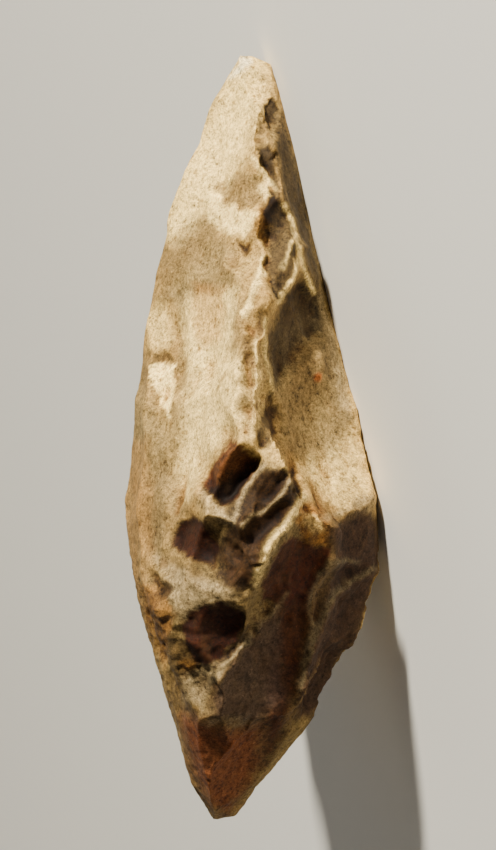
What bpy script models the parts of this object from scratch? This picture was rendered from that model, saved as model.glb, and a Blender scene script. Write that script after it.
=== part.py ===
"""Stone hand axe, worked on two faces and along one side, lying on its under face with its tip towards +X.

It is shaped standing on its butt, one unit high: X through its thickness, Y across its width with the near edge
at -Y, and Z along its length. Places are in percent of the three sizes, with the butt end at 0 along. The rough
blank is the hull of its ridges and edges, and each flake struck from it leaves a shallow hollow, cut by an
ellipsoid. The flaked stone is then brought to its three real sizes and laid down.
"""

from math import cos, radians, sin, sqrt

import bmesh
import bpy
from mathutils import Matrix, Vector
from mathutils.bvhtree import BVHTree

LENGTH = 0.086
WIDTH = 0.0542
THICKNESS = 0.0284

# The width and the thickness of the unit stone, as shares of its length.
UNIT_WIDTH = 0.63
UNIT_THICKNESS = 0.33

# The flat spot that it lies on: its place on the under face, and how it leans along and across the stone.
BED_PLACE = (28.9, -11.0, 71.7)
BED_LEAN = 12.0
BED_ROLL = 14.0

# The lines of the blank, as (through, across, along).
TIP = ((-3, 2, 99.2), (-3, -2, 99), (8, 1, 97.9), (8, -3, 97.5), (10, -4, 95.5), (-8, 3, 96.5))
UPPER_RIDGE = (
    (-3, 2, 99.2), (-19.5, -2, 89.5), (-33, -4, 78.5), (-40, -4, 68), (-48.5, -4, 46.5), (-49.7, -3, 41.5),
    (-47, -4, 33.5), (-42.5, -4, 26.5), (-29, -4, 13), (-23, -4, 5), (-14, 0, 0),
)
UPPER_SHOULDER = (
    (-36, -18, 56), (-40, -20, 44), (-18, -46, 43.5), (-39, -33, 31.5), (-34, -27, 25.5), (-30, -18, 19), (-23, -11, 10),
)
NEAR_EDGE = (
    (8.5, -10, 92), (8.5, -24, 81.5), (8, -36, 68), (5, -43.5, 58), (3, -48.5, 48), (0, -49, 38),
    (2, -45.5, 31), (-3, -41.5, 26), (-12, -35, 19), (-17, -27, 13), (-15, -18, 6.5), (-14, -8, 1.5),
)
UNDER_SHOULDER = (
    (12, -2, 94.5), (20, -5, 83.5), (25, -7, 77), (20, -43, 42.5), (32, -35, 39.5), (48.5, -16, 41.5),
    (50.5, -10, 33.5), (44, -9, 25.5), (24, -34, 26), (19, -24, 17), (32, -8, 18), (24, -5, 13), (2, -4, 4.5), (-6, 0, 0.5),
)
FAR_EDGE = (
    (-1, 3, 98), (-6, 10, 93), (-17, 23, 81), (-22, 35, 67), (-25, 47, 46.5), (-24, 50, 34), (-19, 43, 23),
    (-18, 27, 9), (-14, 12, 2),
)
UNDER_RIDGE = ((8, 1, 98), (20, 4, 83), (26, 12, 66), (34, 14, 44), (40, 6, 30), (26, 4, 13), (2, -4, 4.5))
BED_CORNERS = ((-11, 71.5), (-11, 40.5), (15, 44), (13, 66))

# Each flake scar: its place (through, along), the way that it faces (bearing from -Y towards +X, pitch),
# its length, width and depth in percent of the stone's length, and how far its length leans towards -X.
UPPER_FACE_SCARS = (
    (-4.5, 92.5, -50, 12, 17.5, 11.0, 0.6, -14),
    (-11.0, 83.5, -52, 8, 17.5, 15.0, 0.6, -30),
    (-19.0, 74.0, -58, 0, 20.0, 18.5, 0.7, 20),
    (-20.0, 62.0, -58, -2, 21.0, 18.0, 0.7, -10),
    (-26.5, 50.5, -65, -3, 21.0, 16.5, 0.7, 12),
    (-34.0, 41.0, -72, -5, 17.5, 11.5, 0.6, 14),
    (-30.0, 76.5, -76, 8, 16.5, 9.5, 0.4, -12),
    (-37.5, 64.5, -78, 4, 16.5, 9.5, 0.5, -8),
    (-43.5, 51.5, -82, 0, 18.5, 9.5, 0.5, 0),
    (-45.5, 39.0, -82, -6, 16.5, 9.5, 0.5, 4),
    (-40.0, 26.0, -66, -14, 13.0, 7.0, 0.6, 8),
    (-31.5, 17.5, -60, -16, 10.5, 7.0, 0.6, 10),
    (-35.5, 55.5, -60, 12, 7.5, 3.7, 0.5, -5),
)
NEAR_EDGE_UPPER_SCARS = (
    (0.5, 98.0, 0, 70, 3.5, 3.0, 0.7, 0),
    (6.0, 95.0, -25, 6, 5.0, 3.5, 0.6, 40),
    (5.0, 89.0, -20, 2, 5.5, 4.0, 0.7, 70),
    (0.0, 81.0, -34, 8, 9.5, 5.0, 0.9, 75),
    (-2.5, 76.0, -38, -12, 8.0, 6.5, 0.9, 50),
    (0.5, 72.0, -20, -18, 5.0, 4.0, 0.9, 30),
    (1.5, 68.5, -38, 16, 9.0, 4.2, 0.9, -24),
    (0.5, 65.0, -22, -22, 5.0, 3.7, 0.9, 40),
    (3.0, 60.0, -24, -4, 8.0, 4.2, 0.9, -10),
    (-1.0, 54.0, -30, -14, 7.5, 5.5, 1.0, 30),
    (4.5, 49.5, -10, -16, 6.5, 5.0, 0.9, 10),
)
UNDER_FACE_SCARS = (
    (27.5, 56.0, 50, 4, 31.5, 23.5, 4.2, 6),
    (38.0, 45.0, 14, 6, 10.5, 8.0, 1.0, 40),
    (19.5, 83.5, 66, 10, 25.5, 13.0, 0.5, 8),
    (24.0, 74.5, 62, 4, 18.5, 10.5, 0.4, 6),
)
NEAR_EDGE_UNDER_SCARS = (
    (8.5, 92.5, 25, 5, 7.0, 3.5, 0.6, 0),
    (7.5, 85.0, 22, -14, 7.5, 4.2, 1.1, 6),
    (7.0, 76.5, 14, -18, 11.0, 6.5, 2.1, 14),
    (12.5, 70.5, 10, 22, 7.5, 4.5, 1.1, -28),
    (16.5, 68.5, 30, 18, 7.5, 4.0, 1.0, -22),
    (8.0, 64.0, 22, -8, 8.0, 4.0, 0.9, 0),
    (7.5, 51.0, 8, -12, 9.5, 4.2, 0.9, 0),
)
BUTT_SCARS = (
    (-4.5, 44.5, 26, -36, 13.0, 8.5, 3.5, -28),
    (-9.0, 39.5, -2, -14, 10.5, 8.0, 1.1, 70),
    (9.0, 43.5, 6, -34, 8.5, 3.3, 1.1, -50),
    (9.5, 40.5, 6, -26, 11.5, 4.7, 1.5, -46),
    (-18.0, 36.0, 12, -30, 10.0, 8.0, 2.5, -10),
    (-1.5, 31.5, 4, -26, 15.0, 10.5, 1.4, -35),
    (-13.0, 24.5, 4, -30, 10.5, 10.0, 2.2, -30),
    (26.0, 38.5, 24, -14, 9.0, 8.0, 1.2, -20),
    (10.0, 19.0, 24, -18, 42.0, 14.0, 2.2, -13),
    (43.0, 37.0, 44, -10, 10.5, 8.0, 0.9, 0),
    (39.0, 27.5, 52, -16, 21.0, 10.5, 1.3, -10),
    (26.5, 15.5, 50, -20, 15.0, 9.5, 1.0, -24),
    (28.0, 24.0, 34, -12, 20.0, 6.3, 1.1, -14),
    (-14.5, 7.5, -12, -34, 16.5, 13.0, 1.4, 8),
    (0.0, 6.0, 30, -30, 15.0, 10.5, 1.0, -20),
    (-23.0, 17.5, -20, -16, 10.5, 7.5, 1.0, 10),
    (36.0, 21.5, 64, -20, 5.5, 5.0, 0.9, 0),
    (28.0, 16.0, 62, -20, 5.5, 4.5, 0.8, 0),
)

# The far side, which is worked in the same way: rows of broad flakes and of small ones, struck from the far
# edge into the upper face and into the under face.
FAR_ROWS = (
    {"ridge": UPPER_RIDGE, "first": 88, "step": 12.5, "count": 7, "bearing": -104, "reach": 0.30, "length": 0.70,
     "width": 0.92, "depth": 0.055},
    {"ridge": UNDER_RIDGE, "first": 93, "step": 12.5, "count": 7, "bearing": 130, "reach": 0.40, "length": 0.95,
     "width": 0.95, "depth": 0.055},
    {"ridge": UPPER_RIDGE, "first": 92, "step": 8.6, "count": 10, "bearing": -150, "reach": 0.10, "length": 0.37,
     "width": 0.32, "depth": 0.10},
    {"ridge": UNDER_RIDGE, "first": 96, "step": 8.6, "count": 10, "bearing": 146, "reach": 0.10, "length": 0.37,
     "width": 0.32, "depth": 0.10},
)
LARGEST_FAR_SCAR = 14.5  # percent of the stone's length across

STONE_COLOUR = (0.42, 0.33, 0.21, 1.0)


def clear_scene():
    for obj in list(bpy.data.objects):
        bpy.data.objects.remove(obj, do_unlink=True)


def collection_named(name):
    collection = bpy.data.collections.new(name)
    bpy.context.scene.collection.children.link(collection)
    return collection


def stone_material():
    material = bpy.data.materials.new("stone")
    material.use_nodes = True
    surface = material.node_tree.nodes["Principled BSDF"]
    surface.inputs["Base Color"].default_value = STONE_COLOUR
    surface.inputs["Roughness"].default_value = 0.72
    surface.inputs["Metallic"].default_value = 0.0
    material.diffuse_color = STONE_COLOUR
    return material


def placed(through, across, along):
    return Vector((through * UNIT_THICKNESS, across * UNIT_WIDTH, along)) / 100


def bed_normal():
    """The way out of the unit stone through its bed, while it stands on its butt."""
    lean = radians(BED_LEAN)
    roll = radians(BED_ROLL)
    return Vector((cos(lean) * cos(roll), sin(roll), sin(lean) * cos(roll)))


def on_bed(across, along):
    """The point of the bed's plane at this place across and along."""
    start = placed(*BED_PLACE)
    point = placed(0, across, along)
    normal = bed_normal()
    point.x = start.x - (normal.y * (point.y - start.y) + normal.z * (point.z - start.z)) / normal.x
    return point


def object_of(bm, name, collection):
    mesh = bpy.data.meshes.new(name)
    bm.to_mesh(mesh)
    bm.free()
    obj = bpy.data.objects.new(name, mesh)
    collection.objects.link(obj)
    return obj


def make_blank(collection):
    """The stone before flaking: the hull of its ridges, edges and bed."""
    bm = bmesh.new()
    for line in (TIP, UPPER_RIDGE, UPPER_SHOULDER, NEAR_EDGE, UNDER_SHOULDER, FAR_EDGE):
        for corner in line:
            bm.verts.new(placed(*corner))
    for corner in BED_CORNERS:
        bm.verts.new(on_bed(*corner))
    hull = bmesh.ops.convex_hull(bm, input=bm.verts)
    inside = {item for item in hull["geom_interior"] if isinstance(item, bmesh.types.BMVert)}
    bmesh.ops.delete(bm, geom=list(inside), context="VERTS")
    bm.normal_update()
    bmesh.ops.recalc_face_normals(bm, faces=bm.faces)
    return object_of(bm, "hand_axe", collection)


def make_cutter(name, at, facing, length, width, depth, lean, collection):
    """An ellipsoid whose cap, sunk into the unit stone at this point, is the scar."""
    bearing, pitch = (radians(angle) for angle in facing)
    out = Vector((sin(bearing) * cos(pitch), -cos(bearing) * cos(pitch), sin(pitch)))
    run = (Vector((0, 0, 1)) - out * out.z).normalized()
    side = out.cross(run)
    turn = radians(lean)
    run, side = run * cos(turn) + side * sin(turn), side * cos(turn) - run * sin(turn)
    rise = depth + 0.3 * min(length, width)
    share = sqrt(1 - (1 - depth / rise) ** 2)
    axes = Matrix((run * length / 2 / share, side * width / 2 / share, out * rise)).transposed().to_4x4()
    bm = bmesh.new()
    rounds = 4 if width > 0.16 else 3 if width > 0.045 else 2
    bmesh.ops.create_icosphere(bm, subdivisions=rounds, radius=1.0)
    bm.transform(Matrix.Translation(at + out * (rise - depth)) @ axes)
    cutter = object_of(bm, name, collection)
    cutter.hide_render = True
    cutter.display_type = "WIRE"
    return cutter


def scars_seen_from_the_near_side(blank, cutters):
    """The flakes that are placed one by one, each where a line along +Y first meets the blank."""
    surface = BVHTree.FromPolygons([v.co for v in blank.data.vertices], [f.vertices for f in blank.data.polygons])
    groups = {
        "upper_face": UPPER_FACE_SCARS,
        "near_edge_upper": NEAR_EDGE_UPPER_SCARS,
        "under_face": UNDER_FACE_SCARS,
        "near_edge_under": NEAR_EDGE_UNDER_SCARS,
        "butt": BUTT_SCARS,
    }
    for group, scars in groups.items():
        for number, (through, along, bearing, pitch, length, width, depth, lean) in enumerate(scars):
            at = surface.ray_cast(placed(through, -200, along), Vector((0, 1, 0)))[0]
            name = f"{group}_scar_{number + 1}"
            make_cutter(name, at, (bearing, pitch), length / 100, width / 100, depth / 100, lean, cutters)


def point_on(line, along):
    """The point of this line of the blank at this height along the stone."""
    stations = sorted(line, key=lambda corner: corner[2])
    along = min(max(along, stations[0][2]), stations[-1][2])
    for low, high in zip(stations, stations[1:]):
        if along <= high[2]:
            share = (along - low[2]) / max(high[2] - low[2], 1e-6)
            return placed(*low).lerp(placed(*high), share)
    return placed(*stations[-1])


def scars_of_the_far_side(cutters):
    """The rows of flakes struck from the far edge, a little uneven in size, turn and place."""
    most = LARGEST_FAR_SCAR / 100
    for row, values in enumerate(FAR_ROWS):
        for number in range(values["count"]):
            along = values["first"] - number * values["step"]
            edge = point_on(FAR_EDGE, along)
            across = point_on(values["ridge"], along) - edge
            span = across.length * (1.0, 0.86, 1.08, 0.94)[number % 4]
            width = min(most, values["width"] * span)
            facing = (values["bearing"] + (6, -5, 2)[number % 3], (4, -6, 0, 7)[number % 4])
            lean = 90 + (14, -10, 4, -18)[number % 4]
            at = edge + across * values["reach"]
            name = f"far_side_scar_{row + 1}_{number + 1}"
            make_cutter(name, at, facing, values["length"] * span, width, values["depth"] * width, lean, cutters)


def make_bed_cutter(cutters):
    """A block whose face is the bed's plane. What it takes off leaves the flat spot."""
    bm = bmesh.new()
    bmesh.ops.create_cube(bm, size=1.0)
    bmesh.ops.translate(bm, verts=bm.verts, vec=(0, 0, 0.5))
    bmesh.ops.scale(bm, verts=bm.verts, vec=(3, 3, 3))
    turn = bed_normal().to_track_quat("Z", "Y").to_matrix().to_4x4()
    bm.transform(Matrix.Translation(placed(*BED_PLACE)) @ turn)
    cutter = object_of(bm, "bed_cutter", cutters)
    cutter.hide_render = True
    cutter.display_type = "WIRE"


def cut_all(blank, cutters):
    """Takes every cutter off the blank and keeps the result as its mesh."""
    for cutter in cutters.objects:
        cut = blank.modifiers.new(cutter.name, "BOOLEAN")
        cut.operation = "DIFFERENCE"
        cut.solver = "EXACT"
        cut.object = cutter
    bpy.context.view_layer.update()
    evaluated = blank.evaluated_get(bpy.context.evaluated_depsgraph_get())
    mesh = bpy.data.meshes.new_from_object(evaluated)
    blank.modifiers.clear()
    blank.data = mesh
    mesh.name = blank.name


def lay_down(stone):
    """Brings the unit stone to its real sizes and turns it onto its bed, tip towards +X.

    The middle of its underside's box is then at the origin.
    """
    sizes = Vector((THICKNESS / UNIT_THICKNESS, WIDTH / UNIT_WIDTH, LENGTH))
    down = bed_normal()
    up = -Vector((down.x / sizes.x, down.y / sizes.y, down.z / sizes.z)).normalized()
    tipward = Vector((up.z, 0, -up.x)).normalized()
    turn = Matrix((tipward, up.cross(tipward), up)).to_4x4()
    stone.data.transform(turn @ Matrix.Diagonal(sizes).to_4x4())
    places = [vertex.co for vertex in stone.data.vertices]
    low = Vector(min(place[axis] for place in places) for axis in range(3))
    high = Vector(max(place[axis] for place in places) for axis in range(3))
    stone.data.transform(Matrix.Translation(-Vector(((low.x + high.x) / 2, (low.y + high.y) / 2, low.z))))


clear_scene()
parts = collection_named("stone_hand_axe")
cutters = collection_named("flakes_struck_off")
stone = make_blank(parts)
scars_seen_from_the_near_side(stone, cutters)
scars_of_the_far_side(cutters)
make_bed_cutter(cutters)
cut_all(stone, cutters)
lay_down(stone)
stone.data.materials.clear()
stone.data.materials.append(stone_material())
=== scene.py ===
from math import cos, pi, radians, sin, sqrt

import bmesh
import bpy
import numpy as np
from mathutils import Matrix, Vector


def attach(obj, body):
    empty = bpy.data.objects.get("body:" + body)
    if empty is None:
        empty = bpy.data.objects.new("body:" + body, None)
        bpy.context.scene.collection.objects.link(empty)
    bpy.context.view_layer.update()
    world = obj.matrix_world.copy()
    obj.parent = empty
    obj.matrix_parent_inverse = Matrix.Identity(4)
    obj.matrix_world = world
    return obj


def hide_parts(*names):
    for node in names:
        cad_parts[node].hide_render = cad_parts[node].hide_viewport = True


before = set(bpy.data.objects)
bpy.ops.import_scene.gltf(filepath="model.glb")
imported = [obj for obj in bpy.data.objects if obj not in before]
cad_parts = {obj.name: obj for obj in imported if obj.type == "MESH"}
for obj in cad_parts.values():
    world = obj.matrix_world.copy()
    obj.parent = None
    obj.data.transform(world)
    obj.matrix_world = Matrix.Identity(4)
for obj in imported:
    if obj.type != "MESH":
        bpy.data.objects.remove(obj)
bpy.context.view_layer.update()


# ---------------------------------------------------------------------------------------------------------
# The stone. The real piece is one flaked pebble of fine-grained, weathered stone: broad flakes struck from
# both faces, small ones from the edges, and a butt left thick, pitted and stained. It is shaped standing on
# its butt at unit length: X through the thickness, Y across the width with the near edge at -Y, Z along it.

LENGTH = 0.086
WIDTH = 0.0542
THICKNESS = 0.0284
STONE_MM = round(LENGTH * 1000)
# One percent of the unit stone along each axis, and what takes the unit stone to its real size.
UNIT = np.array([0.33, 0.63, 1.0]) / 100
SIZES = np.array([THICKNESS / 0.33, WIDTH / 0.63, LENGTH])

BED_PLACE = (28.9, -11.0, 71.7)
BED_LEAN = radians(12.0)
BED_ROLL = radians(14.0)
BED_NORMAL = np.array([cos(BED_LEAN) * cos(BED_ROLL), sin(BED_ROLL), sin(BED_LEAN) * cos(BED_ROLL)])

TIP = ((-3, 2, 99.2), (-3, -2, 99), (8, 1, 97.9), (8, -3, 97.5), (10, -4, 95.5), (-8, 3, 96.5))
UPPER_RIDGE = (
    (-3, 2, 99.2), (-19.5, -2, 89.5), (-33, -4, 78.5), (-40, -4, 68), (-48.5, -4, 46.5), (-49.7, -3, 41.5),
    (-47, -4, 33.5), (-42.5, -4, 26.5), (-29, -4, 13), (-23, -4, 5), (-14, 0, 0),
)
UPPER_SHOULDER = (
    (-36, -18, 56), (-40, -20, 44), (-18, -46, 43.5), (-39, -33, 31.5), (-34, -27, 25.5), (-30, -18, 19),
     (-23, -11, 10),
)
NEAR_EDGE = (
    (8.5, -10, 92), (8.5, -24, 81.5), (8, -36, 68), (5, -43.5, 58), (3, -48.5, 48), (0, -49, 38),
    (2, -45.5, 31), (-3, -41.5, 26), (-12, -35, 19), (-17, -27, 13), (-15, -18, 6.5), (-14, -8, 1.5),
)
UNDER_SHOULDER = (
    (12, -2, 94.5), (20, -5, 83.5), (25, -7, 77), (20, -43, 42.5), (32, -35, 39.5), (48.5, -16, 41.5),
    (50.5, -10, 33.5), (44, -9, 25.5), (24, -34, 26), (19, -24, 17), (32, -8, 18), (24, -5, 13),
     (2, -4, 4.5), (-6, 0, 0.5),
)
FAR_EDGE = (
    (-1, 3, 98), (-6, 10, 93), (-17, 23, 81), (-22, 35, 67), (-25, 47, 46.5), (-24, 50, 34), (-19, 43, 23),
    (-18, 27, 9), (-14, 12, 2),
)
UNDER_RIDGE = ((8, 1, 98), (20, 4, 83), (26, 12, 66), (34, 14, 44), (40, 6, 30), (26, 4, 13), (2, -4, 4.5))
BED_CORNERS = ((-11, 71.5), (-11, 40.5), (15, 44), (13, 66))

# The broad flakes: place (through, along), the way they face (bearing from -Y towards +X, pitch), length,
# width and depth in percent of the stone's length, and lean. They are the solid's own.
UPPER_FACE_FLAKES = (
    (-4.5, 92.5, -50, 12, 17.5, 11.0, 0.6, -14),
    (-11.0, 83.5, -52, 8, 17.5, 15.0, 0.6, -30),
    (-19.0, 74.0, -58, 0, 20.0, 18.5, 0.7, 20),
    (-20.0, 62.0, -58, -2, 21.0, 18.0, 0.7, -10),
    (-26.5, 50.5, -65, -3, 21.0, 16.5, 0.7, 12),
    (-34.0, 41.0, -72, -5, 17.5, 11.5, 0.6, 14),
    (-30.0, 76.5, -76, 8, 16.5, 9.5, 0.4, -12),
    (-37.5, 64.5, -78, 4, 16.5, 9.5, 0.5, -8),
    (-43.5, 51.5, -82, 0, 18.5, 9.5, 0.5, 0),
    (-45.5, 39.0, -82, -6, 16.5, 9.5, 0.5, 4),
    (-40.0, 26.0, -66, -14, 13.0, 7.0, 0.6, 8),
    (-31.5, 17.5, -60, -16, 10.5, 7.0, 0.6, 10),
    (-35.5, 55.5, -60, 12, 7.5, 3.7, 0.5, -5),
)
NEAR_EDGE_UPPER_FLAKES = (
    (0.5, 98.0, 0, 70, 3.5, 3.0, 0.7, 0),
    (6.0, 95.0, -25, 6, 5.0, 3.5, 0.6, 40),
    (5.0, 89.0, -20, 2, 5.5, 4.0, 0.7, 70),
    (0.0, 81.0, -34, 8, 9.5, 5.0, 0.9, 75),
    (-2.5, 76.0, -38, -12, 8.0, 6.5, 0.9, 50),
    (0.5, 72.0, -20, -18, 5.0, 4.0, 0.9, 30),
    (1.5, 68.5, -38, 16, 9.0, 4.2, 0.9, -24),
    (0.5, 65.0, -22, -22, 5.0, 3.7, 0.9, 40),
    (3.0, 60.0, -24, -4, 8.0, 4.2, 0.9, -10),
    (-1.0, 54.0, -30, -14, 7.5, 5.5, 1.0, 30),
    (4.5, 49.5, -10, -16, 6.5, 5.0, 0.9, 10),
)
UNDER_FACE_FLAKES = (
    (27.5, 56.0, 50, 4, 31.5, 23.5, 4.2, 6),
    (38.0, 45.0, 14, 6, 10.5, 8.0, 1.0, 40),
    (19.5, 83.5, 66, 10, 25.5, 13.0, 0.5, 8),
    (24.0, 74.5, 62, 4, 18.5, 10.5, 0.4, 6),
)
NEAR_EDGE_UNDER_FLAKES = (
    (8.5, 92.5, 25, 5, 7.0, 3.5, 0.6, 0),
    (7.5, 85.0, 22, -14, 7.5, 4.2, 1.1, 6),
    (7.0, 76.5, 14, -18, 11.0, 6.5, 2.1, 14),
    (12.5, 70.5, 10, 22, 7.5, 4.5, 1.1, -28),
    (16.5, 68.5, 30, 18, 7.5, 4.0, 1.0, -22),
    (8.0, 64.0, 22, -8, 8.0, 4.0, 0.9, 0),
    (7.5, 51.0, 8, -12, 9.5, 4.2, 0.9, 0),
)
BUTT_FLAKES = (
    (-4.5, 44.5, 26, -36, 13.0, 8.5, 3.5, -28),
    (-9.0, 39.5, -2, -14, 10.5, 8.0, 1.1, 70),
    (9.0, 43.5, 6, -34, 8.5, 3.3, 1.1, -50),
    (9.5, 40.5, 6, -26, 11.5, 4.7, 1.5, -46),
    (-18.0, 36.0, 12, -30, 10.0, 8.0, 2.5, -10),
    (-1.5, 31.5, 4, -26, 15.0, 10.5, 1.4, -35),
    (-13.0, 24.5, 4, -30, 10.5, 10.0, 2.2, -30),
    (26.0, 38.5, 24, -14, 9.0, 8.0, 1.2, -20),
    (10.0, 19.0, 24, -18, 42.0, 14.0, 2.2, -13),
    (43.0, 37.0, 44, -10, 10.5, 8.0, 0.9, 0),
    (39.0, 27.5, 52, -16, 21.0, 10.5, 1.3, -10),
    (26.5, 15.5, 50, -20, 15.0, 9.5, 1.0, -24),
    (28.0, 24.0, 34, -12, 20.0, 6.3, 1.1, -14),
    (-14.5, 7.5, -12, -34, 16.5, 13.0, 1.4, 8),
    (0.0, 6.0, 30, -30, 15.0, 10.5, 1.0, -20),
    (-23.0, 17.5, -20, -16, 10.5, 7.5, 1.0, 10),
    (36.0, 21.5, 64, -20, 5.5, 5.0, 0.9, 0),
    (28.0, 16.0, 62, -20, 5.5, 4.5, 0.8, 0),
)

# The far side's rows, struck from the far edge into the upper and the under face, broad ones then small:
# the ridge they reach for, the first one's height, the step down to the next, how many, their bearing, their
# share of the way to the ridge, length and width as shares of that way, and depth as a share of the width.
FAR_ROWS = (
    (UPPER_RIDGE, 88, 12.5, 7, -104, 0.30, 0.70, 0.92, 0.055),
    (UNDER_RIDGE, 93, 12.5, 7, 130, 0.40, 0.95, 0.95, 0.055),
    (UPPER_RIDGE, 92, 8.6, 10, -150, 0.10, 0.37, 0.32, 0.10),
    (UNDER_RIDGE, 96, 8.6, 10, 146, 0.10, 0.37, 0.32, 0.10),
)
LARGEST_FAR_FLAKE = 14.5
# How the flakes of a row differ from one to the next: in span, bearing, pitch and lean.
SPAN_SHARES = (1.0, 0.86, 1.08, 0.94)
BEARING_SHIFTS = (6, -5, 2)
PITCH_SHIFTS = (4, -6, 0, 7)
LEAN_SHIFTS = (14, -10, 4, -18)
LEAST_REACH = 0.0004


def blank_planes():
    """The flat sides of the blank, the hull of its ridges and edges, as outward normals and offsets."""
    bm = bmesh.new()
    for line in (TIP, UPPER_RIDGE, UPPER_SHOULDER, NEAR_EDGE, UNDER_SHOULDER, FAR_EDGE):
        for corner in line:
            bm.verts.new(np.array(corner) * UNIT)
    for across, along in BED_CORNERS:
        point = np.array([0.0, across, along]) * UNIT
        point[0] = ((np.array(BED_PLACE) * UNIT - point) @ BED_NORMAL) / BED_NORMAL[0]
        bm.verts.new(point)
    hull = bmesh.ops.convex_hull(bm, input=bm.verts)
    inside = {item for item in hull["geom_interior"] if isinstance(item, bmesh.types.BMVert)}
    bmesh.ops.delete(bm, geom=list(inside), context="VERTS")
    bm.normal_update()
    bmesh.ops.recalc_face_normals(bm, faces=bm.faces)
    bm.normal_update()
    normals = np.array([face.normal[:] for face in bm.faces])
    offsets = np.array([face.normal.dot(face.verts[0].co) for face in bm.faces])
    bm.free()
    return normals, offsets


def sight_lines(rows, columns):
    """Where each grid point is sought: from a core line inside the stone, straight outwards at its height.

    Rows run from butt to tip, closer together at both ends. Columns step evenly round a kite 14 wide and 25
    deep that is drawn about the core, seven in eleven of them on the near side, where the flaking is finest.
    Returns the starts and the outward directions.
    """
    share = np.linspace(0, 1, rows)
    along = 0.15 + 98.5 * (0.25 * (1 - np.cos(pi * share)) + 0.5 * share)
    core = np.array([(0, -12, 0), (5, -8, 0), (13, -2, 0), (28, 2, 0), (41, 0, 0), (54, -3, 0), (67, -5, 0),
                     (80, -3, 0), (92, 1, 0), (97, 0, 0), (99.15, -2.5, 0.5)], float)
    through = np.interp(along, core[:, 0], core[:, 1])
    across = np.interp(along, core[:, 0], core[:, 2])
    starts = np.stack([through, across, along], axis=-1) * UNIT
    far = np.linspace(0, 1, round(columns * 2 / 11), endpoint=False)
    near = np.linspace(0, 1, (columns - 2 * len(far)) // 2, endpoint=False)
    kite = np.concatenate([np.stack([-far, 1 - far], axis=-1), np.stack([near - 1, -near], axis=-1),
                           np.stack([near, near - 1], axis=-1), np.stack([1 - far, far], axis=-1)])
    ways = np.concatenate([kite * (14, 25), np.zeros((len(kite), 1))], axis=-1)
    ways /= np.linalg.norm(ways, axis=1)[:, None]
    return starts[:, None, :] + np.zeros((1, len(ways), 1)), ways[None, :, :] + np.zeros((rows, 1, 1))


def blank_reach(starts, ways):
    """How far each sight line runs inside the blank: the least gap over speed to a side it runs out of."""
    normals, offsets = blank_planes()
    reach = np.full(starts.shape[:2], np.inf)
    for normal, offset in zip(normals, offsets):
        speed = ways @ normal
        gap = offset - starts @ normal
        reach = np.where(speed > 1e-9, np.minimum(reach, gap / np.where(speed > 1e-9, speed, 1)), reach)
    return reach


def waves(points, size, seed, count=26):
    """Soft noise from about -1 to 1: a sum of sine waves in random directions, about one size long."""
    random = np.random.default_rng(seed)
    ways = random.normal(size=(count, 3))
    ways /= np.linalg.norm(ways, axis=1)[:, None]
    lengths = size * random.uniform(0.65, 1.6, count)
    phases = random.uniform(0, 2 * pi, count)
    total = np.zeros(points.shape[:-1])
    for way, length, phase in zip(ways, lengths, phases):
        total += np.sin(points @ (way * 2 * pi / length) + phase)
    return total * 1.5 / sqrt(count)


class Stone:
    """The worked surface as a grid of reaches: how far it lies from the core line in each direction."""

    def __init__(self, rows, columns):
        self.starts, self.ways = sight_lines(rows, columns)
        self.reach = blank_reach(self.starts, self.ways)
        where = self.points()
        self.stir = np.stack([waves(where, 0.06, 11 + axis) + 0.15 * waves(where, 0.02, 21 + axis)
                              for axis in range(2)], axis=-1)

    def points(self):
        """Start plus direction times reach."""
        return self.starts + self.ways * self.reach[..., None]

    def strike(self, at, out, length, width, depth, lean, stir=0.035, blend=0.0014):
        """One flake: each sight line that meets the flake's ellipsoid ends where it enters it.

        The ellipsoid is shifted along the surface by a soft noise, so its edge isn't a clean oval, and the
        arris it leaves is rounded over a short blend, less where the two surfaces are far apart.
        """
        ball, rise = flake_axes(out, length, width, depth, lean)
        seat = (self.starts - (np.array(at) + out * (rise - depth))) @ ball.T
        seat[..., :2] += self.stir * stir
        way = self.ways @ ball.T
        a = (way * way).sum(-1)
        b = (seat * way).sum(-1)
        inside = b * b - a * ((seat * seat).sum(-1) - 1)
        meets = inside > 0
        entry = np.where(meets, (-b - np.sqrt(np.where(meets, inside, 0))) / a, np.inf)
        entry = np.where(entry > 0, entry, np.inf)
        near = np.clip(1 - np.abs(np.where(meets, entry, 1e3) - self.reach) / blend, 0, 1)
        self.reach = np.maximum(np.minimum(self.reach, entry) - near * near * blend / 4, LEAST_REACH)


def facing(bearing, pitch):
    """The outward direction with this bearing, from -Y towards +X, and this pitch above the level."""
    bearing, pitch = radians(bearing), radians(pitch)
    return np.array([sin(bearing) * cos(pitch), -cos(bearing) * cos(pitch), sin(pitch)])


def flake_axes(out, length, width, depth, lean):
    """The matrix that takes a flake's ellipsoid to a ball of radius 1, and how far the ellipsoid rises.

    The cap below the surface is as deep as asked, and as long and wide as asked where it comes out of it:
    rise is depth plus 0.3 of the lesser side, and each half side is divided by the cap's share of the ball.
    """
    run = np.array([0, 0, 1.0]) - out * out[2]
    run /= np.linalg.norm(run)
    side = np.cross(out, run)
    turn = radians(lean)
    run, side = run * cos(turn) + side * sin(turn), side * cos(turn) - run * sin(turn)
    rise = depth + 0.3 * min(length, width)
    share = sqrt(1 - (1 - depth / rise) ** 2)
    return np.array([run / (length / 2 / share), side / (width / 2 / share), out / rise]), rise


def line_point(line, along):
    """The point of a line of the blank at this height, evenly between the corners below and above it."""
    corners = np.array(sorted(line, key=lambda corner: corner[2]), float)
    return np.array([np.interp(along, corners[:, 2], corners[:, axis]) for axis in range(3)]) * UNIT


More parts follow.
